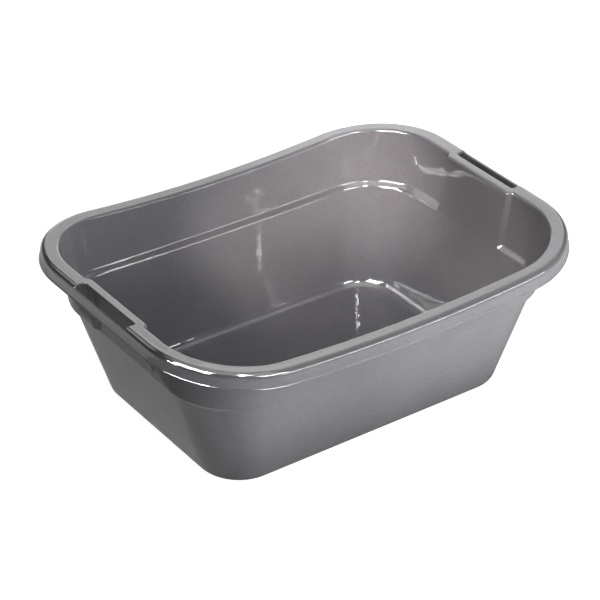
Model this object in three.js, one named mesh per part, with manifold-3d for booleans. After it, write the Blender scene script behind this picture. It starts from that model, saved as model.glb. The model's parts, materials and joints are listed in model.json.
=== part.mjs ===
// Plastic washtub: one thin-walled moulding with a rolled rim, a ledge half way up
// its walls and a hand slot through the rim at each end.
// Millimetres, +Z up, X along the length, Y from the front to the back.
// The moulding is divided along its own moulded lines into separate closed solids.
import * as THREE from 'three';
import Module from 'manifold-3d';
import { mergeVertices } from 'three/addons/utils/BufferGeometryUtils.js';

const wasm = await Module();
wasm.setup();

// Rim: outer size in plan, height at the ends and sag at the middle of the long sides
const RIM_LENGTH = 600;
const RIM_WIDTH = 444;
const RIM_CORNER = 122;
const END_HEIGHT = 214;
const SIDE_DIP = 21;

// Rim section: flat top band, rolled shoulder and a skirt that hangs down outside
const RIM_BREADTH = 25;
const EDGE_RADIUS = 3;
const SHOULDER_RADIUS = 8;
const SKIRT_DEPTH = 20;
const SKIRT_DRAFT = THREE.MathUtils.degToRad(10);

// Ledge half way up the walls, inside at its upper corner line: how far it stands in
// from the rim's outer edge and how much tighter its corners are
const LEDGE_END_INSET = 35;
const LEDGE_SIDE_INSET = 40.5;
const LEDGE_CORNER_INSET = 39.5;
const LEDGE_HEIGHT = 139.5;
const LEDGE_DIP = 6;
const LEDGE_STEP = 7;
const LEDGE_DROP = 5;

// Base, outside where the walls meet the rounded heel: how far it stands in from the
// rim's outer edge and how much tighter its corners are
const BASE_END_INSET = 78.3;
const BASE_SIDE_INSET = 71.7;
const BASE_CORNER_INSET = 66;
const HEEL_RADIUS = 13;

// Wall thickness of the whole moulding, and the seam between neighbouring solids
const WALL = 2.2;
const SEAM = 0.3;

// Hand slot through the rim at each end, from the flat band out over the shoulder, so that
// only the skirt is left outside it, and the recess in the wall behind it
const SLOT_LENGTH = 111;
const SLOT_INNER_INSET = 18.4;
const SLOT_EDGE_ANGLE = THREE.MathUtils.degToRad(32);
const SLOT_CORNER = 4;
const SLOT_END_WEB = 8.5;
const RECESS_DEPTH = 6;
const CHEEK_RUN = 4;

// Smoothness: steps around a corner, along a long side and across a rolled edge
const CORNER_STEPS = 8;
const SIDE_STEPS = 10;
const ROLL_STEPS = 5;
const EDGE_STEPS = 2;

const PLASTIC_COLOUR = 0x8b8a8d;
const PLASTIC_ROUGHNESS = 0.28;

// A level is one line round the tub: its size in plan, its height at the ends, how far
// it sags at the middle of the long sides and how far the hand recess pushes it inwards
function rimLevel(inset, drop, recess = 0) {
  return {
    length: RIM_LENGTH - 2 * inset,
    width: RIM_WIDTH - 2 * inset,
    corner: RIM_CORNER - inset,
    height: END_HEIGHT - drop,
    dip: SIDE_DIP,
    recess,
  };
}

function grown(level, out, down = 0) {
  return {
    ...level,
    length: level.length + 2 * out,
    width: level.width + 2 * out,
    corner: level.corner + out,
    height: level.height - down,
  };
}

// The level a short way along from one level to the next, where a solid starts
function pastSeam(from, to) {
  const run = Math.hypot((to.length - from.length) / 2, to.height - from.height);
  const share = SEAM / run;
  const level = {};
  for (const key of Object.keys(from)) {
    level[key] = from[key] + share * (to[key] - from[key]);
  }
  return level;
}

// A spot is a place round the plan that turns a level into a point of it
function spotHeight(level, x) {
  return level.height - level.dip * (1 - (2 * x / RIM_LENGTH) ** 2);
}

function sideSpot(front, share, shift = 0) {
  return (level) => {
    const x = share * (level.length / 2 - level.corner) + shift;
    return [x, front * level.width / 2, spotHeight(level, x)];
  };
}

function endSpot(end, share, shift = 0) {
  return (level) => {
    const x = end * level.length / 2;
    const y = share * (level.width / 2 - level.corner) + shift;
    return [x, y, spotHeight(level, x)];
  };
}

function recessSpot(end, y, depth) {
  return (level) => {
    const x = end * (level.length / 2 - depth * level.recess);
    return [x, y, spotHeight(level, x)];
  };
}

function cornerSpot(end, front, angle) {
  return (level) => {
    const x = end * (level.length / 2 - level.corner) + level.corner * Math.cos(angle);
    const y = front * (level.width / 2 - level.corner) + level.corner * Math.sin(angle);
    return [x, y, spotHeight(level, x)];
  };
}

// Spots of one stretch of the plan, counter-clockwise seen from above
const both = (spot) => ({ inner: spot, outer: spot });

function sideStretch(front) {
  const stretch = [];
  for (let step = 0; step <= SIDE_STEPS; step += 1) {
    const share = -front * (2 * step / SIDE_STEPS - 1);
    const atEnd = step === 0 || step === SIDE_STEPS;
    stretch.push(both(sideSpot(front, share, atEnd ? -Math.sign(share) * SEAM : 0)));
  }
  return stretch;
}

function endStretch(end) {
  return [both(endSpot(end, -end, end * SEAM)), both(endSpot(end, end, -end * SEAM))];
}

function cornerStretch(end, front) {
  const middle = Math.atan2(front, end);
  const stretch = [];
  for (let step = 0; step <= CORNER_STEPS; step += 1) {
    const angle = middle + (step / CORNER_STEPS - 0.5) * Math.PI / 2;
    stretch.push(both(cornerSpot(end, front, angle)));
  }
  return stretch;
}

// A corner with the short straight run that leads on to the hand recess
const RECESS_HALF = SLOT_LENGTH / 2 + SLOT_END_WEB;

function longCornerStretch(end, front) {
  const stretch = cornerStretch(end, front);
  const runOut = both(recessSpot(end, front * RECESS_HALF, 0));
  return end * front < 0 ? [...stretch, runOut] : [runOut, ...stretch];
}

// The recess: its cheeks slope inwards at both ends, one wall thickness apart
function recessStretch(end) {
  const reach = RECESS_HALF - SEAM;
  const half = [
    { inner: [reach, 0], outer: [reach, 0] },
    { inner: [reach - CHEEK_RUN, 1], outer: [reach - WALL, 0] },
    { inner: [reach - CHEEK_RUN - WALL, 1], outer: [reach - CHEEK_RUN - WALL, 1] },
  ];
  const along = (sign) => half.map(({ inner, outer }) => ({
    inner: recessSpot(end, sign * inner[0], inner[1]),
    outer: recessSpot(end, sign * outer[0], outer[1]),
  }));
  return [...along(-end), ...along(end).reverse()];
}

// Geometry from points and triangles
function toGeometry(points, triangles) {
  const geometry = new THREE.BufferGeometry();
  geometry.setAttribute('position', new THREE.Float32BufferAttribute(points.flat(), 3));
  geometry.setIndex(triangles.flat());
  geometry.computeVertexNormals();
  return geometry;
}

function quad(triangles, a, b, c, d) {
  triangles.push([a, b, c], [a, c, d]);
}

// A closed strip of the shell between its inner and outer levels, along one stretch
function shellStrip(stretch, innerLevels, outerLevels) {
  const ribs = innerLevels.length;
  const points = [];
  for (const spots of stretch) {
    points.push(...innerLevels.map(spots.inner), ...outerLevels.map(spots.outer));
  }
  const inner = (station, rib) => station * 2 * ribs + rib;
  const outer = (station, rib) => inner(station, rib) + ribs;
  const last = stretch.length - 1;
  const top = ribs - 1;
  const triangles = [];
  for (let s = 0; s < last; s += 1) {
    for (let r = 0; r < top; r += 1) {
      quad(triangles, inner(s, r), inner(s, r + 1), inner(s + 1, r + 1), inner(s + 1, r));
      quad(triangles, outer(s, r), outer(s + 1, r), outer(s + 1, r + 1), outer(s, r + 1));
    }
    quad(triangles, inner(s, 0), inner(s + 1, 0), outer(s + 1, 0), outer(s, 0));
    quad(triangles, inner(s, top), outer(s, top), outer(s + 1, top), inner(s + 1, top));
  }
  for (let r = 0; r < top; r += 1) {
    quad(triangles, inner(0, r), outer(0, r), outer(0, r + 1), inner(0, r + 1));
    quad(triangles, inner(last, r), inner(last, r + 1), outer(last, r + 1), outer(last, r));
  }
  return toGeometry(points, triangles);
}

// The flat floor plate inside the heel
function floorPlate(stretch, upperLevel, lowerLevel) {
  const points = [[0, 0, upperLevel.height], [0, 0, lowerLevel.height]];
  for (const spots of stretch) {
    points.push(spots.inner(upperLevel), spots.outer(lowerLevel));
  }
  const count = stretch.length;
  const triangles = [];
  for (let s = 0; s < count; s += 1) {
    const upper = 2 + 2 * s;
    const upperNext = 2 + 2 * ((s + 1) % count);
    triangles.push([0, upper, upperNext], [1, upperNext + 1, upper + 1]);
    quad(triangles, upper, upper + 1, upperNext + 1, upperNext);
  }
  return toGeometry(points, triangles);
}

// Cutting solids
function toSolid(geometry) {
  const bare = new THREE.BufferGeometry();
  bare.setAttribute('position', geometry.getAttribute('position'));
  bare.setIndex(geometry.getIndex());
  const merged = mergeVertices(bare, 1e-4);
  return new wasm.Manifold(new wasm.Mesh({
    numProp: 3,
    vertProperties: new Float32Array(merged.getAttribute('position').array),
    triVerts: new Uint32Array(merged.getIndex().array),
  }));
}

function cutOut(geometry, cutter) {
  const { vertProperties, triVerts } = toSolid(geometry).subtract(cutter).getMesh();
  const result = new THREE.BufferGeometry();
  result.setAttribute('position', new THREE.Float32BufferAttribute(vertProperties, 3));
  result.setIndex([...triVerts]);
  result.computeVertexNormals();
  return result;
}

function prism(outline, depth) {
  return new THREE.ExtrudeGeometry(outline, { depth, bevelEnabled: false, curveSegments: ROLL_STEPS });
}

// Heel: a quarter round from the floor up to the walls, inside and outside
const baseLevel = {
  length: RIM_LENGTH - 2 * BASE_END_INSET,
  width: RIM_WIDTH - 2 * BASE_SIDE_INSET,
  corner: RIM_CORNER - BASE_CORNER_INSET,
  height: HEEL_RADIUS,
  dip: 0,
  recess: 0,
};

function heelLevels(radius) {
  const levels = [];
  for (let step = 0; step <= ROLL_STEPS; step += 1) {
    const angle = (step / ROLL_STEPS) * Math.PI / 2;
    const pulledIn = HEEL_RADIUS - radius * Math.sin(angle);
    levels.push(grown(baseLevel, -pulledIn, radius * Math.cos(angle)));
  }
  return levels;
}

const heelInner = heelLevels(HEEL_RADIUS - WALL);
const heelOuter = heelLevels(HEEL_RADIUS);
const heelFootInner = heelInner[0];
const heelFootOuter = heelOuter[0];

// Walls: from the heel to the ledge, over the ledge and up to the rim
const wallTopInner = rimLevel(RIM_BREADTH, EDGE_RADIUS, RECESS_DEPTH);
const wallTopOuter = grown(wallTopInner, WALL);
const ledgeTopPlain = {
  length: RIM_LENGTH - 2 * LEDGE_END_INSET,
  width: RIM_WIDTH - 2 * LEDGE_SIDE_INSET,
  corner: RIM_CORNER - LEDGE_CORNER_INSET,
  height: LEDGE_HEIGHT,
  dip: LEDGE_DIP,
  recess: 0,
};
const ledgeFootInner = grown(ledgeTopPlain, -LEDGE_STEP, LEDGE_DROP);

// In the recess the wall runs straight from the foot of the ledge to the rim
const ledgeShare = LEDGE_DROP / (wallTopInner.height - ledgeFootInner.height);
const recessRun = wallTopInner.length / 2 - RECESS_DEPTH - ledgeFootInner.length / 2;
const ledgeTopInner = { ...ledgeTopPlain, recess: LEDGE_STEP - ledgeShare * recessRun };

// The outside of the ledge is lowered so that the ledge is as thick as the wall
const ledgeSlope = Math.hypot(LEDGE_STEP, LEDGE_DROP);
const ledgeSink = WALL * (ledgeSlope - LEDGE_DROP) / LEDGE_STEP;
const ledgeFootOuter = grown(ledgeFootInner, WALL, ledgeSink);
const ledgeTopOuter = grown(ledgeTopInner, WALL, ledgeSink);

const heelTopInner = heelInner[ROLL_STEPS];
const heelTopOuter = heelOuter[ROLL_STEPS];
const lowerInner = [pastSeam(heelTopInner, ledgeFootInner), ledgeFootInner];
const lowerOuter = [pastSeam(heelTopOuter, ledgeFootOuter), ledgeFootOuter];
const upperInner = [pastSeam(ledgeFootInner, ledgeTopInner), ledgeTopInner, wallTopInner];
const upperOuter = [pastSeam(ledgeFootOuter, ledgeTopOuter), ledgeTopOuter, wallTopOuter];

// Rim: rounded inner edge, flat band, rolled shoulder and skirt
const skirtRun = (SKIRT_DEPTH - SHOULDER_RADIUS * (1 - Math.sin(SKIRT_DRAFT))) * Math.tan(SKIRT_DRAFT);
const shoulderInset = SHOULDER_RADIUS * Math.cos(SKIRT_DRAFT) + skirtRun;

function rimLevels(thickness) {
  const levels = [];
  const edge = EDGE_RADIUS - thickness;
  for (let step = 0; step <= EDGE_STEPS; step += 1) {
    const angle = (step / EDGE_STEPS) * Math.PI / 2;
    const inset = RIM_BREADTH - EDGE_RADIUS + edge * Math.cos(angle);
    levels.push(rimLevel(inset, EDGE_RADIUS - edge * Math.sin(angle), RECESS_DEPTH));
  }
  const roll = SHOULDER_RADIUS - thickness;
  for (let step = 0; step <= ROLL_STEPS; step += 1) {
    const angle = Math.PI / 2 - (step / ROLL_STEPS) * (Math.PI / 2 - SKIRT_DRAFT);
    const inset = shoulderInset - roll * Math.cos(angle);
    levels.push(rimLevel(inset, SHOULDER_RADIUS - roll * Math.sin(angle)));
  }
  levels.push(rimLevel(thickness / Math.cos(SKIRT_DRAFT), SKIRT_DEPTH));
  levels[0] = pastSeam(levels[0], levels[1]);
  return levels;
}

const rimInner = rimLevels(0);
const rimOuter = rimLevels(WALL);

// The hand slot in plan: round corners on the band, open over the shoulder
function slotPlan(end) {
  const near = RIM_LENGTH / 2 - SLOT_INNER_INSET;
  const far = RIM_LENGTH / 2 + RIM_BREADTH;
  const half = SLOT_LENGTH / 2;
  const outline = new THREE.Shape();
  outline.moveTo(far, -half);
  outline.lineTo(far, half);
  outline.absarc(near + SLOT_CORNER, half - SLOT_CORNER, SLOT_CORNER, Math.PI / 2, Math.PI);
  outline.absarc(near + SLOT_CORNER, -half + SLOT_CORNER, SLOT_CORNER, Math.PI, 1.5 * Math.PI);
  const plan = prism(outline, 2 * END_HEIGHT);
  return toSolid(end < 0 ? plan.rotateZ(Math.PI) : plan);
}

// The hand slot in section: its outer face is square to the rolled shoulder
function slotSection(end) {
  const x = RIM_LENGTH / 2 - shoulderInset;
  const z = spotHeight(rimLevel(shoulderInset, SHOULDER_RADIUS), x);
  const outX = x + RIM_BREADTH * Math.cos(SLOT_EDGE_ANGLE);
  const outZ = z + RIM_BREADTH * Math.sin(SLOT_EDGE_ANGLE);
  const outline = new THREE.Shape();
  outline.moveTo(0, 0);
  outline.lineTo(x, 0);
  outline.lineTo(x, z);
  outline.lineTo(outX, outZ);
  outline.lineTo(outX, 2 * END_HEIGHT);
  outline.lineTo(0, 2 * END_HEIGHT);
  const section = prism(outline, RIM_WIDTH).rotateX(Math.PI / 2).translate(0, RIM_WIDTH / 2, 0);
  return toSolid(end < 0 ? section.rotateZ(Math.PI) : section);
}

// The assembly
const washtub = new THREE.Group();

function addPiece(name, geometry) {
  const plastic = new THREE.MeshStandardMaterial({
    color: PLASTIC_COLOUR,
    roughness: PLASTIC_ROUGHNESS,
    metalness: 0,
  });
  const mesh = new THREE.Mesh(geometry, plastic);
  mesh.name = name;
  washtub.add(mesh);
}

const FRONTS = { front: -1, back: 1 };
const ENDS = { left: -1, right: 1 };

const wholeRound = [
  ...cornerStretch(1, -1),
  ...cornerStretch(1, 1),
  ...cornerStretch(-1, 1),
  ...cornerStretch(-1, -1),
];
addPiece('floor', floorPlate(wholeRound, grown(heelFootInner, -SEAM), grown(heelFootOuter, -SEAM)));

for (const [frontName, front] of Object.entries(FRONTS)) {
  addPiece(`heel_${frontName}`, shellStrip(sideStretch(front), heelInner, heelOuter));
  addPiece(`lower_wall_${frontName}`, shellStrip(sideStretch(front), lowerInner, lowerOuter));
  addPiece(`upper_wall_${frontName}`, shellStrip(sideStretch(front), upperInner, upperOuter));
  addPiece(`rim_${frontName}`, shellStrip(sideStretch(front), rimInner, rimOuter));
}

for (const [endName, end] of Object.entries(ENDS)) {
  addPiece(`heel_${endName}`, shellStrip(endStretch(end), heelInner, heelOuter));
  addPiece(`lower_wall_${endName}`, shellStrip(endStretch(end), lowerInner, lowerOuter));
  addPiece(`finger_recess_${endName}`, shellStrip(recessStretch(end), upperInner, upperOuter));
  const wholeHandle = shellStrip(recessStretch(end), rimInner, rimOuter);
  const slot = slotPlan(end).intersect(slotSection(end));
  addPiece(`handle_${endName}`, cutOut(wholeHandle, slot));
  for (const [frontName, front] of Object.entries(FRONTS)) {
    const place = `${frontName}_${endName}`;
    const shortCorner = cornerStretch(end, front);
    const longCorner = longCornerStretch(end, front);
    addPiece(`heel_corner_${place}`, shellStrip(shortCorner, heelInner, heelOuter));
    addPiece(`lower_corner_${place}`, shellStrip(shortCorner, lowerInner, lowerOuter));
    addPiece(`upper_corner_${place}`, shellStrip(longCorner, upperInner, upperOuter));
    addPiece(`rim_corner_${place}`, shellStrip(longCorner, rimInner, rimOuter));
  }
}

export default washtub;
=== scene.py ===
import json
import math

import bmesh
import bpy
from mathutils import Matrix, Vector

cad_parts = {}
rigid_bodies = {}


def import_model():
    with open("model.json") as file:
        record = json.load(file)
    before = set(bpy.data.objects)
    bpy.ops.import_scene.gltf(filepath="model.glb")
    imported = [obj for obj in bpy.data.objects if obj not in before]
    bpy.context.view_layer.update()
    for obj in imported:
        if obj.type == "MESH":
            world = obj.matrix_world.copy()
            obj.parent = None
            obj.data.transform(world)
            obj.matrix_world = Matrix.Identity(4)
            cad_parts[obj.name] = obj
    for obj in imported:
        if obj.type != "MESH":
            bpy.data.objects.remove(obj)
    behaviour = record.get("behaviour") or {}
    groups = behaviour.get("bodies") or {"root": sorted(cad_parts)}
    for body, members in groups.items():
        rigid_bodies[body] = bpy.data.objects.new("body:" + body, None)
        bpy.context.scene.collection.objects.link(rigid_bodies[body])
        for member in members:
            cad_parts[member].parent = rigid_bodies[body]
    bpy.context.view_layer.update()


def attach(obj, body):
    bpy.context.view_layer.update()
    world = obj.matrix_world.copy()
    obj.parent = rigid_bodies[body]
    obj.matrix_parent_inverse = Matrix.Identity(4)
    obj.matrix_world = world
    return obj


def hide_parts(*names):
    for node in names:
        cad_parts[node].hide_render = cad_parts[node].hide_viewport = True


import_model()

# The camera stands to the left of the front of the tub and looks down into it from some
# three metres away, through a long lens, turned a little about its own line of sight.
CAMERA_AZIMUTH = math.radians(-36.641)
CAMERA_ELEVATION = math.radians(32.291)
CAMERA_ROLL = math.radians(-1.2)
CAMERA_DISTANCE = 2.889
CAMERA_TARGET = Vector((0.0, 0.0, 0.1))
IMAGE_SIDE = 600.0
FOCAL_PIXELS = 2318.0
CENTRE_PIXEL = (304.87, 310.84)
SENSOR_WIDTH = 36.0

to_camera = Vector((
    math.sin(CAMERA_AZIMUTH) * math.cos(CAMERA_ELEVATION),
    -math.cos(CAMERA_AZIMUTH) * math.cos(CAMERA_ELEVATION),
    math.sin(CAMERA_ELEVATION),
))
level_right = Vector((math.cos(CAMERA_AZIMUTH), math.sin(CAMERA_AZIMUTH), 0.0))
level_up = to_camera.cross(level_right)
camera_right = math.cos(CAMERA_ROLL) * level_right - math.sin(CAMERA_ROLL) * level_up
camera_up = math.sin(CAMERA_ROLL) * level_right + math.cos(CAMERA_ROLL) * level_up
camera_place = Matrix((camera_right, camera_up, to_camera)).transposed().to_4x4()
camera_place.translation = CAMERA_TARGET + CAMERA_DISTANCE * to_camera

bpy.ops.object.select_all(action="DESELECT")
bpy.ops.object.camera_add()
camera = bpy.context.object
camera.name = "photo_camera"
camera.matrix_world = camera_place
camera.data.sensor_width = SENSOR_WIDTH
camera.data.lens = FOCAL_PIXELS / IMAGE_SIDE * SENSOR_WIDTH
camera.data.shift_x = (IMAGE_SIDE / 2 - CENTRE_PIXEL[0]) / IMAGE_SIDE
camera.data.shift_y = (CENTRE_PIXEL[1] - IMAGE_SIDE / 2) / IMAGE_SIDE
bpy.context.scene.camera = camera

# Floor: the flat bottom of the one grey polypropylene moulding, rolled up into the walls
# all round through a rounded heel. The wall is the same thickness everywhere.
RIM_LENGTH = 0.600
RIM_WIDTH = 0.444
RIM_CORNER = 0.122
WALL = 0.0022
BASE_INSET = (0.0783, 0.0717, 0.066)
BASE_HEIGHT = 0.013
LEDGE_INSET = (0.035, 0.0405, 0.0395)
LEDGE_HEIGHT = 0.1395
LEDGE_DIP = 0.006
LEDGE_STEP = 0.007
LEDGE_DROP = 0.005
HEEL_REACH = 0.0095
FLOOR_EDGE = 0.016
FLOOR_TOP = 0.020
HOLD_GAP = 0.003
HEEL_STEPS = 10
CHEEK_START = 0.0652
CHEEK_RUN = 0.0068
CORNER_STEPS = 20
SIDE_STEPS = 24
END_HALF = (
    0.016, 0.034, 0.0505, 0.0515, 0.053, 0.0545, 0.0555, 0.057, 0.0583, 0.0594, 0.0605,
    0.0616, 0.0627, 0.0638, 0.0649, 0.0662, 0.068, 0.078, 0.088,
)
END_STATIONS = [-y for y in reversed(END_HALF)] + list(END_HALF)
STATIONS = 4 * (CORNER_STEPS + 1) + 2 * (SIDE_STEPS - 1) + 2 * len(END_STATIONS)


def level(end_inset, side_inset, corner_inset, height, dip=0.0, recess=0.0):
    """One line round the tub: size in plan, corner, height, sag, recess and its cheek."""
    return Vector((
        RIM_LENGTH - 2 * end_inset,
        RIM_WIDTH - 2 * side_inset,
        RIM_CORNER - corner_inset,
        height,
        dip,
        recess,
        CHEEK_START,
    ))


def grown(line, out, down=0.0):
    return line + Vector((2 * out, 2 * out, out, -down, 0.0, 0.0, 0.0))


def at_height(low, high, height):
    return low.lerp(high, (height - low[3]) / (high[3] - low[3]))


def rounded(before, corner, after, reach, steps):
    """Lines round a rounded edge that starts and ends at a reach from its sharp corner."""
    legs = []
    for other in (before, after):
        run = Vector(((other[0] - corner[0]) / 2, other[3] - corner[3]))
        legs.append((corner.lerp(other, reach / run.length), run.normalized()))
    (start, back), (finish, on) = legs
    weight = math.sin(back.angle(on) / 2)
    lines = []
    for step in range(steps + 1):
        t = step / steps
        first, middle, last = (1 - t) ** 2, 2 * weight * t * (1 - t), t * t
        lines.append((start * first + corner * middle + finish * last) / (first + middle + last))
    return lines


def ring_points(line):
    """The points of one line, counter-clockwise from the front right corner."""
    length, width, corner, height, dip, recess, cheek = line
    plan = []
    quarter = -math.pi / 2
    for end, front in ((1, -1), (1, 1), (-1, 1), (-1, -1)):
        x_centre = end * (length / 2 - corner)
        y_centre = front * (width / 2 - corner)
        for step in range(CORNER_STEPS + 1):
            angle = quarter + step / CORNER_STEPS * math.pi / 2
            plan.append((x_centre + corner * math.cos(angle), y_centre + corner * math.sin(angle)))
        quarter += math.pi / 2
        if end * front < 0:
            for y in END_STATIONS:
                share = min(max((cheek - abs(y)) / CHEEK_RUN, 0.0), 1.0)
                depth = recess * share * share * (3 - 2 * share)
                plan.append((end * (length / 2 - depth), end * y))
        else:
            for step in range(1, SIDE_STEPS):
                plan.append((x_centre * (1 - 2 * step / SIDE_STEPS), front * width / 2))
    return [(x, y, height - dip * (1 - (2 * x / RIM_LENGTH) ** 2)) for x, y in plan]


def place_ring(piece, line, number):
    """Sets the selected ring of points on a line of the tub."""
    mesh = bmesh.from_edit_mesh(piece.data)
    station = mesh.verts.layers.int["station"]
    ring = mesh.verts.layers.int["ring"]
    points = ring_points(line)
    for vert in mesh.verts:
        if vert.select:
            vert.co = points[vert[station]]
            vert[ring] = number
    bmesh.update_edit_mesh(piece.data)


def moulded(name, lines):
    """A piece extruded ring by ring along its lines, left open in edit mode."""
    bpy.ops.object.select_all(action="DESELECT")
    bpy.ops.mesh.primitive_circle_add(vertices=STATIONS, radius=RIM_LENGTH / 2)
    piece = bpy.context.object
    piece.name = piece.data.name = name
    piece.data.attributes.new("ring", "INT", "POINT")
    piece.data.attributes.new("station", "INT", "POINT").data.foreach_set("value", range(STATIONS))
    bpy.ops.object.mode_set(mode="EDIT")
    bpy.ops.mesh.select_mode(type="EDGE")
    bpy.ops.mesh.select_all(action="SELECT")
    place_ring(piece, lines[0], 0)
    for number, line in enumerate(lines[1:], 1):
        bpy.ops.mesh.extrude_edges_indiv()
        place_ring(piece, line, number)
    return piece


def select_open_edges():
    bpy.ops.mesh.select_all(action="DESELECT")
    bpy.ops.mesh.select_non_manifold(
        extend=False, use_wire=False, use_multi_face=False, use_non_contiguous=False, use_verts=False
    )


def finished(piece, nodes):
    """Closes edit mode, gives the piece its plastic and puts it in the frame."""
    bpy.ops.mesh.select_all(action="SELECT")
    bpy.ops.mesh.normals_make_consistent(inside=False)
    bpy.ops.object.mode_set(mode="OBJECT")
    bpy.ops.object.shade_smooth_by_angle(angle=SMOOTH_ANGLE)
    for name in ("ring", "station"):
        piece.data.attributes.remove(piece.data.attributes[name])
    piece.data.materials.append(grey_plastic)
    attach(piece, "root")
    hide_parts(*nodes)


SMOOTH_ANGLE = math.radians(38)
PLASTIC_DEEP = (0.214, 0.211, 0.224, 1.0)
PLASTIC_PALE = (0.258, 0.254, 0.269, 1.0)
FLOW_SCALE = 9.0
FLECK_SCALE = 330.0
FLECK_RANGE = (0.92, 1.08)
ROUGHNESS_RANGE = (0.03, 0.05)
RIPPLE_SCALE = 45.0
RIPPLE_STRENGTH = 0.15
RIPPLE_HEIGHT = 0.002
NOISE_MIDDLE = (0.25, 0.75)
grey_plastic = bpy.data.materials.new("grey_plastic")
grey_plastic.use_nodes = True
plastic_nodes = grey_plastic.node_tree.nodes
plastic_links = grey_plastic.node_tree.links
plastic_shader = plastic_nodes["Principled BSDF"]


def plastic_noise(scale, detail):
    noise = plastic_nodes.new("ShaderNodeTexNoise")
    noise.inputs["Scale"].default_value = scale
    noise.inputs["Detail"].default_value = detail
    plastic_links.new(plastic_place.outputs["Object"], noise.inputs["Vector"])
    return noise.outputs["Fac"]


def plastic_range(value, low, high):
    """Spreads the middle of a noise between two values."""
    spread = plastic_nodes.new("ShaderNodeMapRange")
    spread.inputs["From Min"].default_value = NOISE_MIDDLE[0]
    spread.inputs["From Max"].default_value = NOISE_MIDDLE[1]
    spread.inputs["To Min"].default_value = low
    spread.inputs["To Max"].default_value = high
    plastic_links.new(value, spread.inputs["Value"])
    return spread.outputs["Result"]


plastic_place = plastic_nodes.new("ShaderNodeTexCoord")
flow = plastic_noise(FLOW_SCALE, 3.0)
fleck = plastic_noise(FLECK_SCALE, 2.0)
ripple = plastic_noise(RIPPLE_SCALE, 1.0)
tone = plastic_nodes.new("ShaderNodeValToRGB")
for stop, position, colour in zip(tone.color_ramp.elements, NOISE_MIDDLE, (PLASTIC_DEEP, PLASTIC_PALE)):
    stop.position = position
    stop.color = colour
plastic_links.new(flow, tone.inputs["Fac"])
pearl = plastic_nodes.new("ShaderNodeHueSaturation")
plastic_links.new(tone.outputs["Color"], pearl.inputs["Color"])
plastic_links.new(plastic_range(fleck, *FLECK_RANGE), pearl.inputs["Value"])
plastic_links.new(pearl.outputs["Color"], plastic_shader.inputs["Base Color"])
plastic_links.new(plastic_range(flow, *ROUGHNESS_RANGE), plastic_shader.inputs["Roughness"])
wave = plastic_nodes.new("ShaderNodeBump")
wave.inputs["Strength"].default_value = RIPPLE_STRENGTH
wave.inputs["Distance"].default_value = RIPPLE_HEIGHT
plastic_links.new(ripple, wave.inputs["Height"])
plastic_links.new(wave.outputs["Normal"], plastic_shader.inputs["Normal"])

ledge_top_plain = level(*LEDGE_INSET, LEDGE_HEIGHT, LEDGE_DIP)
ledge_foot = grown(ledge_top_plain, -LEDGE_STEP, LEDGE_DROP)
ledge_sink = WALL * (math.hypot(LEDGE_STEP, LEDGE_DROP) - LEDGE_DROP) / LEDGE_STEP
ledge_foot_outside = grown(ledge_foot, WALL, ledge_sink)
base_outside = level(*BASE_INSET, BASE_HEIGHT)
base_inside = grown(base_outside, -WALL)


def heel_lines(base, foot, floor_height):
    """Lines from the flat floor round the heel and a little way up the wall."""
    corner = at_height(base, foot, floor_height)
    corner[4] = 0.0
    flat = grown(corner, -FLOOR_EDGE)
    top = at_height(base, foot, FLOOR_TOP)
    round_lines = rounded(flat, corner, foot, HEEL_REACH + floor_height / 2, HEEL_STEPS)
    return [flat, *round_lines, at_height(base, foot, FLOOR_TOP - HOLD_GAP), top]


floor_inside = heel_lines(base_inside, ledge_foot, WALL)
floor_outside = heel_lines(base_outside, ledge_foot_outside, 0.0)
tub_floor = moulded("tub_floor", floor_inside + floor_outside[::-1])
select_open_edges()
bpy.ops.mesh.fill_holes(sides=0)
ENDS = ("left", "right")
FRONTS = ("front", "back")
CORNERS = [f"{front}_{end}" for front in FRONTS for end in ENDS]
finished(tub_floor, ["floor"] + [f"heel_{side}" for side in FRONTS + ENDS]
         + [f"heel_corner_{corner}" for corner in CORNERS])

# Lower walls: plain flaring walls from the heel up to just under the ledge, straight in
# section, drawn from the mould upwards.
WALL_BREAK = 0.008
WALL_STEPS = 5
lower_top = at_height(base_inside, ledge_foot, ledge_foot[3] - WALL_BREAK)
lower_top_outside = at_height(base_outside, ledge_foot_outside, ledge_foot[3] - WALL_BREAK)


def straight_lines(low, high):
    """Lines up a straight stretch of wall, close together at both its ends."""
    run = math.hypot((high[0] - low[0]) / 2, high[3] - low[3])
    shares = [0.0, HOLD_GAP / run]
    shares += [step / WALL_STEPS for step in range(1, WALL_STEPS)]
    shares += [1.0 - HOLD_GAP / run, 1.0]
    return [low.lerp(high, share) for share in shares]


lower_inside = straight_lines(floor_inside[-1], lower_top)
lower_outside = straight_lines(floor_outside[-1], lower_top_outside)
tub_lower_wall = moulded("tub_lower_wall", lower_inside + lower_outside[::-1])
select_open_edges()
bpy.ops.mesh.bridge_edge_loops()
finished(tub_lower_wall, [f"lower_wall_{side}" for side in FRONTS + ENDS]
         + [f"lower_corner_{corner}" for corner in CORNERS])

# Upper walls: the ledge that steps the tub out two thirds of the way up, and the walls above
# it, pushed inwards at both ends behind the hand slots so that fingers have room.
END_HEIGHT = 0.214
SIDE_DIP = 0.021
RIM_BREADTH = 0.025
EDGE_RADIUS = 0.003
RECESS_DEPTH = 0.006
RIM_BREAK = 0.009
LEDGE_TOP_REACH = 0.0022
LEDGE_FOOT_REACH = 0.0026
CHEEK_SHIFT = 0.0009
UNDER_LEDGE_SHARE = 0.4
EDGE_STEPS = 6


def rim_line(inset, drop, recess=0.0):
    return level(inset, inset, inset, END_HEIGHT - drop, SIDE_DIP, recess)


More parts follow.
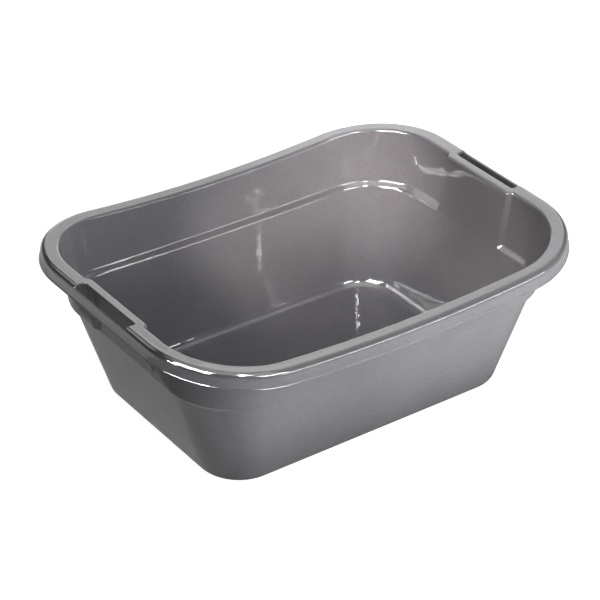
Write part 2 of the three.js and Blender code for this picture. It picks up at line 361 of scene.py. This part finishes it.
wall_top = rim_line(RIM_BREADTH, EDGE_RADIUS, RECESS_DEPTH)
recess_run = wall_top[0] / 2 - RECESS_DEPTH - ledge_foot[0] / 2
ledge_top = ledge_top_plain.copy()
ledge_top[5] = LEDGE_STEP - LEDGE_DROP / (wall_top[3] - ledge_foot[3]) * recess_run


def outside_of(line, down=0.0):
    """The line one wall thickness further out, with its cheeks moved to match."""
    outside = grown(line, WALL, down)
    outside[6] -= CHEEK_SHIFT
    return outside


wall_top_outside = outside_of(wall_top)
ledge_top_outside = outside_of(ledge_top, ledge_sink)


def upper_lines(low, foot, top, high, foot_reach, top_reach):
    """Lines from under the ledge, over its two rounded edges and up to the rim."""
    lines = [low, low.lerp(foot, UNDER_LEDGE_SHARE)]
    lines += rounded(low, foot, top, foot_reach, EDGE_STEPS)
    lines += rounded(foot, top, high, top_reach, EDGE_STEPS)
    return lines + straight_lines(top, high)[2:]


upper_inside = upper_lines(
    lower_top, ledge_foot, ledge_top, at_height(ledge_top, wall_top, END_HEIGHT - RIM_BREAK),
    LEDGE_FOOT_REACH, LEDGE_TOP_REACH,
)
upper_outside = upper_lines(
    lower_top_outside, ledge_foot_outside, ledge_top_outside,
    at_height(ledge_top_outside, wall_top_outside, END_HEIGHT - RIM_BREAK),
    LEDGE_TOP_REACH, LEDGE_FOOT_REACH,
)
tub_upper_wall = moulded("tub_upper_wall", upper_inside + upper_outside[::-1])
select_open_edges()
bpy.ops.mesh.bridge_edge_loops()
finished(tub_upper_wall, [f"upper_wall_{front}" for front in FRONTS]
         + [f"finger_recess_{end}" for end in ENDS]
         + [f"upper_corner_{corner}" for corner in CORNERS])

# Rim: a flat band round the mouth that rolls over a shoulder into a skirt, which hangs down
# outside the wall and ends in a small lip. It sags along both long sides.
SHOULDER_RADIUS = 0.008
SKIRT_DEPTH = 0.020
SKIRT_DRAFT = math.radians(10)
SLOT_INNER = 0.01835
SLOT_EDGE = math.radians(62.5)
SLOT_EDGE_UNDER = math.radians(68)
BAND_INSETS = (0.0169, 0.0154, 0.01435, 0.0123)
BAND_INNER = 0.0205
RECESS_FADE = 0.0045
RECESS_FADE_UNDER = 0.0035
NECK_DROP = 0.006
UNDER_REACH = 0.0012
UNDER_STEPS = 3
ROLL_STEPS = 7
shoulder_inset = SHOULDER_RADIUS * math.cos(SKIRT_DRAFT)
shoulder_inset += (SKIRT_DEPTH - SHOULDER_RADIUS * (1 - math.sin(SKIRT_DRAFT))) * math.tan(SKIRT_DRAFT)
ROLL_END = math.pi / 2 - SKIRT_DRAFT


def roll_line(radius, angle):
    return rim_line(shoulder_inset - radius * math.sin(angle), SHOULDER_RADIUS - radius * math.cos(angle))


def slot_lines(drop, edge):
    """Lines from the inner to the outer edge of the hand slots, over band and shoulder."""
    lines = [rim_line(inset, drop) for inset in (SLOT_INNER, *BAND_INSETS)]
    radius = SHOULDER_RADIUS - drop
    return lines + [roll_line(radius, edge * step / ROLL_STEPS) for step in range(ROLL_STEPS + 1)]


def skirt_lines(drop, edge):
    """Lines from the outer edge of the hand slots down to the skirt."""
    return [roll_line(SHOULDER_RADIUS - drop, edge + (ROLL_END - edge) * share) for share in (0.5, 1.0)]


# Inset and drop of the lip, from the skirt's outside round to its inside
LIP = (
    (0.00145, 0.0135), (0.00112, 0.0164), (0.00098, 0.0175), (0.00078, 0.01805), (0.00042, 0.01835),
    (0.00012, 0.01865), (0.0, 0.0191), (0.00008, 0.01955), (0.0004, 0.0199), (0.0009, 0.02),
    (0.0019, 0.02), (0.0027, 0.01985), (0.0031, 0.0194), (0.0033, 0.018), (0.00375, 0.0135),
)
edge_corner = at_height(ledge_top, wall_top, END_HEIGHT)
rim_lines = [upper_inside[-1], at_height(ledge_top, wall_top, END_HEIGHT - NECK_DROP)]
band_start = rim_line(SLOT_INNER, 0.0, RECESS_DEPTH)
rim_lines += rounded(wall_top, edge_corner, band_start, EDGE_RADIUS, EDGE_STEPS)
rim_lines += [rim_line(BAND_INNER, 0.0, RECESS_FADE)]
slot_top = slot_lines(0.0, SLOT_EDGE)
top_rings = range(len(rim_lines), len(rim_lines) + len(slot_top))
rim_lines += slot_top + skirt_lines(0.0, SLOT_EDGE)
rim_lines += [rim_line(inset, drop) for inset, drop in LIP]
rim_lines += skirt_lines(WALL, SLOT_EDGE_UNDER)[::-1]
slot_under = slot_lines(WALL, SLOT_EDGE_UNDER)
under_rings = range(len(rim_lines), len(rim_lines) + len(slot_under))
under_start = rim_line(BAND_INNER, WALL, RECESS_FADE_UNDER)
under_corner = at_height(ledge_top_outside, wall_top_outside, END_HEIGHT - WALL)
rim_lines += slot_under[::-1] + [under_start]
rim_lines += rounded(under_start, under_corner, wall_top_outside, UNDER_REACH, UNDER_STEPS)
rim_lines += [at_height(ledge_top_outside, wall_top_outside, END_HEIGHT - NECK_DROP), upper_outside[-1]]
tub_rim = moulded("tub_rim", rim_lines)
select_open_edges()
bpy.ops.mesh.bridge_edge_loops()

# Hand slots: a hole through band and shoulder at each end, round-cornered on the band, that
# leaves only the skirt as a bar outside it, and the stretch of rim that the hand closes on.
SLOT_HALF = 0.0555
SLOT_CORNER = 0.004
SLOT_ROUND = 0.0011
SLOT_ROUND_STEPS = 3
HANDLE_HALF = 0.068
END_REGION = 0.2
TOUCH = 1e-6
corner_inset = SLOT_INNER - SLOT_CORNER
corner_half = SLOT_HALF - SLOT_CORNER

bpy.ops.mesh.select_mode(type="FACE")
mesh = bmesh.from_edit_mesh(tub_rim.data)
ring = mesh.verts.layers.int["ring"]
for face in mesh.faces:
    centre = face.calc_center_median()
    rings = {vert[ring] for vert in face.verts}
    in_slot = rings <= set(top_rings) or rings <= set(under_rings)
    face.select = in_slot and abs(centre.x) > END_REGION and abs(centre.y) < SLOT_HALF
bmesh.update_edit_mesh(tub_rim.data)
bpy.ops.mesh.delete(type="FACE")

bpy.ops.mesh.select_mode(type="EDGE")
mesh = bmesh.from_edit_mesh(tub_rim.data)
ring = mesh.verts.layers.int["ring"]
hole_edges = [edge for edge in mesh.edges if edge.is_boundary]
for vert in {vert for edge in hole_edges for vert in edge.verts}:
    arm = Vector((RIM_LENGTH / 2 - abs(vert.co.x) - corner_inset, abs(vert.co.y) - corner_half))
    if min(arm) > TOUCH:
        arm = arm.normalized() * SLOT_CORNER
        x = RIM_LENGTH / 2 - corner_inset - arm.x
        drop = 0.0 if vert[ring] in top_rings else WALL
        height = END_HEIGHT - drop - SIDE_DIP * (1 - (2 * x / RIM_LENGTH) ** 2)
        vert.co = (math.copysign(x, vert.co.x), math.copysign(corner_half + arm.y, vert.co.y), height)
for edge in hole_edges:
    edge.seam = all(vert[ring] in top_rings for vert in edge.verts)
bmesh.update_edit_mesh(tub_rim.data)
for end in (-1, 1):
    mesh = bmesh.from_edit_mesh(tub_rim.data)
    bpy.ops.mesh.select_all(action="DESELECT")
    for edge in mesh.edges:
        if edge.is_boundary and edge.verts[0].co.x * end > 0:
            edge.select = True
    bmesh.update_edit_mesh(tub_rim.data)
    bpy.ops.mesh.bridge_edge_loops()
bpy.ops.mesh.select_all(action="DESELECT")
mesh = bmesh.from_edit_mesh(tub_rim.data)
for edge in mesh.edges:
    edge.select = edge.seam
bmesh.update_edit_mesh(tub_rim.data)
bpy.ops.mesh.bevel(offset=SLOT_ROUND, segments=SLOT_ROUND_STEPS, affect="EDGES")
bpy.ops.mesh.select_all(action="SELECT")
bpy.ops.mesh.mark_seam(clear=True)

handles = {}
for name, end in zip(ENDS, (-1, 1)):
    bpy.ops.mesh.select_mode(type="FACE")
    mesh = bmesh.from_edit_mesh(tub_rim.data)
    for face in mesh.faces:
        centre = face.calc_center_median()
        face.select = centre.x * end > END_REGION and abs(centre.y) < HANDLE_HALF
    bmesh.update_edit_mesh(tub_rim.data)
    before = set(bpy.data.objects)
    bpy.ops.mesh.separate(type="SELECTED")
    handles[name] = (set(bpy.data.objects) - before).pop()
    bpy.ops.mesh.select_mode(type="EDGE")
select_open_edges()
bpy.ops.mesh.fill_holes(sides=0)
finished(tub_rim, [f"rim_{front}" for front in FRONTS] + [f"rim_corner_{corner}" for corner in CORNERS])
for name, handle in handles.items():
    handle.name = handle.data.name = f"tub_handle_{name}"
    bpy.ops.object.select_all(action="DESELECT")
    handle.select_set(True)
    bpy.context.view_layer.objects.active = handle
    bpy.ops.object.mode_set(mode="EDIT")
    bpy.ops.mesh.select_mode(type="EDGE")
    select_open_edges()
    bpy.ops.mesh.fill_holes(sides=0)
    finished(handle, [f"handle_{name}"])

# Studio: a white floor, soft boxes, screens and bulbs that show only in the gloss, and lamps
# that light only the plain surface. Small warm lamps inside the tub stand in for the light
# that its thin back and right walls let through.
FLOOR_SIDE = 12.0
FLOOR_GREY = (0.40, 0.40, 0.40, 1.0)
WHITE = (1.0, 1.0, 1.0, 1.0)
# Painted shade: in the gloss the floor's glow is dimmed to SHADED_GLOW within SHADED_WITHIN of the tub's
# middle and rises to full beyond BRIGHT_BEYOND. This is a painted shadow round the tub that only
# reflections show.
SHADED_WITHIN = 0.45
BRIGHT_BEYOND = 0.85
SHADED_GLOW = 0.06
SEEN_GLOW = 0.96
bpy.ops.object.select_all(action="DESELECT")
bpy.ops.mesh.primitive_plane_add(size=FLOOR_SIDE)
studio_floor = bpy.context.object
studio_floor.name = studio_floor.data.name = "studio_floor"
floor_white = bpy.data.materials.new("floor_white")
floor_white.use_nodes = True
floor_nodes = floor_white.node_tree.nodes
floor_links = floor_white.node_tree.links
floor_shader = floor_nodes["Principled BSDF"]
floor_shader.inputs["Base Color"].default_value = FLOOR_GREY
floor_shader.inputs["Roughness"].default_value = 0.9
floor_shader.inputs["Specular IOR Level"].default_value = 0.0
floor_shader.inputs["Emission Color"].default_value = WHITE
floor_place = floor_nodes.new("ShaderNodeTexCoord")
from_tub = floor_nodes.new("ShaderNodeVectorMath")
from_tub.operation = "LENGTH"
floor_links.new(floor_place.outputs["Object"], from_tub.inputs[0])
# Painted shade round the tub, from the distance to the floor's middle
painted_shade = floor_nodes.new("ShaderNodeMapRange")
painted_shade.interpolation_type = "SMOOTHSTEP"
painted_shade.inputs["From Min"].default_value = SHADED_WITHIN
painted_shade.inputs["From Max"].default_value = BRIGHT_BEYOND
painted_shade.inputs["To Min"].default_value = SHADED_GLOW
painted_shade.inputs["To Max"].default_value = 1.0
floor_links.new(from_tub.outputs["Value"], painted_shade.inputs["Value"])
floor_rays = floor_nodes.new("ShaderNodeLightPath")
mirrored = floor_nodes.new("ShaderNodeMath")
mirrored.operation = "MAXIMUM"
floor_links.new(floor_rays.outputs["Is Glossy Ray"], mirrored.inputs[0])
floor_links.new(floor_rays.outputs["Is Transmission Ray"], mirrored.inputs[1])
seen_glow = floor_nodes.new("ShaderNodeMath")
seen_glow.operation = "MULTIPLY"
seen_glow.inputs[1].default_value = SEEN_GLOW
floor_links.new(floor_rays.outputs["Is Camera Ray"], seen_glow.inputs[0])
# Glow: the painted shade for glossy and transmission rays, an even white for camera rays
floor_glow = floor_nodes.new("ShaderNodeMath")
floor_glow.operation = "MULTIPLY_ADD"
floor_links.new(mirrored.outputs["Value"], floor_glow.inputs[0])
floor_links.new(painted_shade.outputs["Result"], floor_glow.inputs[1])
floor_links.new(seen_glow.outputs["Value"], floor_glow.inputs[2])
floor_links.new(floor_glow.outputs["Value"], floor_shader.inputs["Emission Strength"])
studio_floor.data.materials.append(floor_white)


def seen_from(place, azimuth, elevation, distance):
    """A place as seen from another: azimuth from the front towards the right, and elevation."""
    turn, lift = math.radians(azimuth), math.radians(elevation)
    way = Vector((math.sin(turn) * math.cos(lift), -math.cos(turn) * math.cos(lift), math.sin(lift)))
    return place + distance * way


def lamp(name, kind, place, aim, power, tint=(1.0, 1.0, 1.0), diffuse=True, glossy=True):
    bpy.ops.object.light_add(type=kind, location=place)
    light = bpy.context.object
    light.name = light.data.name = name
    light.rotation_euler = (Vector(aim) - Vector(place)).to_track_quat("-Z", "Y").to_euler()
    light.data.energy = power
    light.data.color = tint
    light.visible_camera = False
    light.visible_diffuse = diffuse
    light.visible_glossy = glossy
    return light.data


def panel(name, place, aim, width, height, power, **rays_seen):
    light = lamp(name, "AREA", place, aim, power, **rays_seen)
    light.shape = "RECTANGLE"
    light.size = width
    light.size_y = height
    return light


TUB_MIDDLE = Vector((0.0, 0.0, 0.12))
HEEL_VIEW = Vector((0.15, 0.165, 0.085))
CORNER_VIEW = Vector((0.203, 0.151, 0.062))


def around(azimuth, elevation, distance):
    return seen_from(TUB_MIDDLE, azimuth, elevation, distance)


# Panels that the gloss shows straight: name, place, width, height and power
for name, place, width, height, power in (
    ("soft_box_right", (0.60, -1.85, 1.87), 1.25, 0.8, 87.0),
    ("soft_box_wide", around(34, 21, 2.6), 1.3, 0.25, 26.0),
    ("ceiling", around(0, 90, 2.4), 2.3, 2.3, 59.0),
    ("screen_right", around(100, 54, 2.4), 1.0, 1.2, 6.0),
):
    panel(name, place, TUB_MIDDLE, width, height, power, diffuse=False).cycles.max_bounces = 0

# Panels that the gloss also passes on from wall to wall: name, place, aim, width, height and power
for name, place, aim, width, height, power in (
    ("soft_box_left", around(-76, 46, 2.0), TUB_MIDDLE, 1.15, 1.15, 210.0),
    ("soft_box_low", seen_from(HEEL_VIEW, -55.5, 36, 2.0), HEEL_VIEW, 0.20, 0.90, 38.0),
    ("bulb_row", seen_from(CORNER_VIEW, -11, 62.8, 2.0), CORNER_VIEW, 0.20, 0.05, 14.0),
    ("soft_box_foot", around(-93, 22.5, 2.0), TUB_MIDDLE, 0.46, 0.22, 40.0),
    ("screen_behind", around(143, 22, 2.5), TUB_MIDDLE, 2.2, 2.2, 32.0),
    ("screen_top", around(143, 41, 2.5), TUB_MIDDLE, 2.2, 1.0, 8.0),
    ("screen_left", around(-152, 42, 2.5), TUB_MIDDLE, 0.9, 0.8, 8.0),
    ("floor_strip_left", (-0.272, 0.10, 0.004), (-0.272, 0.10, 1.0), 0.114, 0.54, 0.045),
    ("floor_sheet_left", (-0.75, 0.45, 0.004), (-0.75, 0.45, 1.0), 0.5, 0.5, 0.4),
):
    panel(name, place, aim, width, height, power, diffuse=False)

# Bulbs close together overhead, which the gloss shows straight
BULBS = 4
BULB_WIDTH = 0.05
for number in range(BULBS):
    bulb = lamp(f"bulb_{number}", "AREA", around(-12 + number, 63, 2.0), TUB_MIDDLE, 90.0, diffuse=False)
    bulb.shape = "DISK"
    bulb.size = BULB_WIDTH
    bulb.cycles.max_bounces = 0

# The lamp that gives the floor its shadow shines on the floor alone
panel("floor_light", around(0, 90, 3.0), TUB_MIDDLE, 1.5, 1.5, 9.0, glossy=False)
floor_only = bpy.data.collections.new("floor_only")
floor_only.objects.link(studio_floor)
bpy.data.objects["floor_light"].light_linking.receiver_collection = floor_only

# Panels that light the plain surface: name, place, aim, width, height and power
for name, place, aim, width, height, power in (
    ("corner_light", (0.42, 0.42, 0.42), (0.27, 0.20, 0.20), 0.2, 0.2, 2.2),
    ("front_light", around(20, 28, 0.95), TUB_MIDDLE, 0.7, 0.5, 2.75),
    ("front_near", around(15, 12, 1.0), TUB_MIDDLE, 0.6, 0.2, 1.0),
    ("front_right", around(45, 12, 1.2), TUB_MIDDLE, 0.6, 0.2, 1.1),
    ("low_front_light", around(-15, 10, 3.0), TUB_MIDDLE, 1.6, 1.0, 16.0),
    ("left_light", around(-105, 40, 3.0), TUB_MIDDLE, 1.4, 1.0, 0.8),
    ("low_left_light", (-1.73, 0.95, 0.08), (-0.25, 0.0, 0.10), 1.0, 0.12, 0.6),
    ("low_back_light", (0.0, 2.0, 0.10), (0.0, 0.2, 0.10), 1.6, 0.12, 22.0),
    ("low_right_light", (2.0, 0.6, 0.10), (0.25, 0.0, 0.10), 1.0, 0.12, 6.0),
    ("bounce_front_left", (-0.15, -0.5, 0.003), (-0.15, -0.5, 1.0), 0.35, 0.5, 0.6),
    ("bounce_front_right", (0.2, -0.5, 0.003), (0.2, -0.5, 1.0), 0.35, 0.5, 1.5),
):
    panel(name, place, aim, width, height, power, glossy=False)

# Warm light through the walls, thrown on their inside: place, aim, spread in degrees, power and tint
BACK_GLOW = (1.0, 0.92, 0.875)
SIDE_GLOW = (1.0, 0.885, 0.85)
GLOW_SOFTNESS = 0.03
for number, (place, aim, spread, power, tint) in enumerate((
    ((-0.12, -0.02, 0.17), (0.12, 0.19, 0.13), 75, 1.00, BACK_GLOW),
    ((-0.05, -0.10, 0.12), (0.12, 0.18, 0.10), 60, 0.60, BACK_GLOW),
    ((0.05, -0.05, 0.10), (0.22, 0.15, 0.13), 60, 0.98, SIDE_GLOW),
    ((-0.10, -0.10, 0.22), (0.24, 0.17, 0.16), 40, 1.10, SIDE_GLOW),
    ((-0.02, -0.06, 0.22), (0.16, 0.20, 0.17), 60, 0.60, BACK_GLOW),
    ((0.05, 0.02, 0.25), (0.25, 0.20, 0.20), 70, 0.65, SIDE_GLOW),
    ((0.03, -0.13, 0.12), (0.26, -0.02, 0.14), 70, 1.00, SIDE_GLOW),
)):
    glow = lamp(f"wall_glow_{number}", "SPOT", place, aim, power, tint=tint, glossy=False)
    glow.spot_size = math.radians(spread)
    glow.spot_blend = 1.0
    glow.shadow_soft_size = GLOW_SOFTNESS

AIR_IN_GLOSS = 0.25
AIR_LIGHT = 0.02
world = bpy.data.worlds.new("studio_air")
bpy.context.scene.world = world
world.use_nodes = True
air_nodes = world.node_tree.nodes
air_links = world.node_tree.links
air = air_nodes["Background"]
air.inputs["Color"].default_value = WHITE
air_rays = air_nodes.new("ShaderNodeLightPath")
air_mirrored = air_nodes.new("ShaderNodeMath")
air_mirrored.operation = "MAXIMUM"
air_links.new(air_rays.outputs["Is Glossy Ray"], air_mirrored.inputs[0])
air_links.new(air_rays.outputs["Is Transmission Ray"], air_mirrored.inputs[1])
air_dim = air_nodes.new("ShaderNodeMath")
air_dim.operation = "MULTIPLY_ADD"
air_dim.inputs[1].default_value = AIR_IN_GLOSS
air_dim.inputs[2].default_value = AIR_LIGHT
air_links.new(air_mirrored.outputs["Value"], air_dim.inputs[0])
air_glow = air_nodes.new("ShaderNodeMath")
air_glow.operation = "MAXIMUM"
air_links.new(air_rays.outputs["Is Camera Ray"], air_glow.inputs[0])
air_links.new(air_dim.outputs["Value"], air_glow.inputs[1])
air_links.new(air_glow.outputs["Value"], air.inputs["Strength"])

bpy.context.scene.view_settings.view_transform = "Standard"
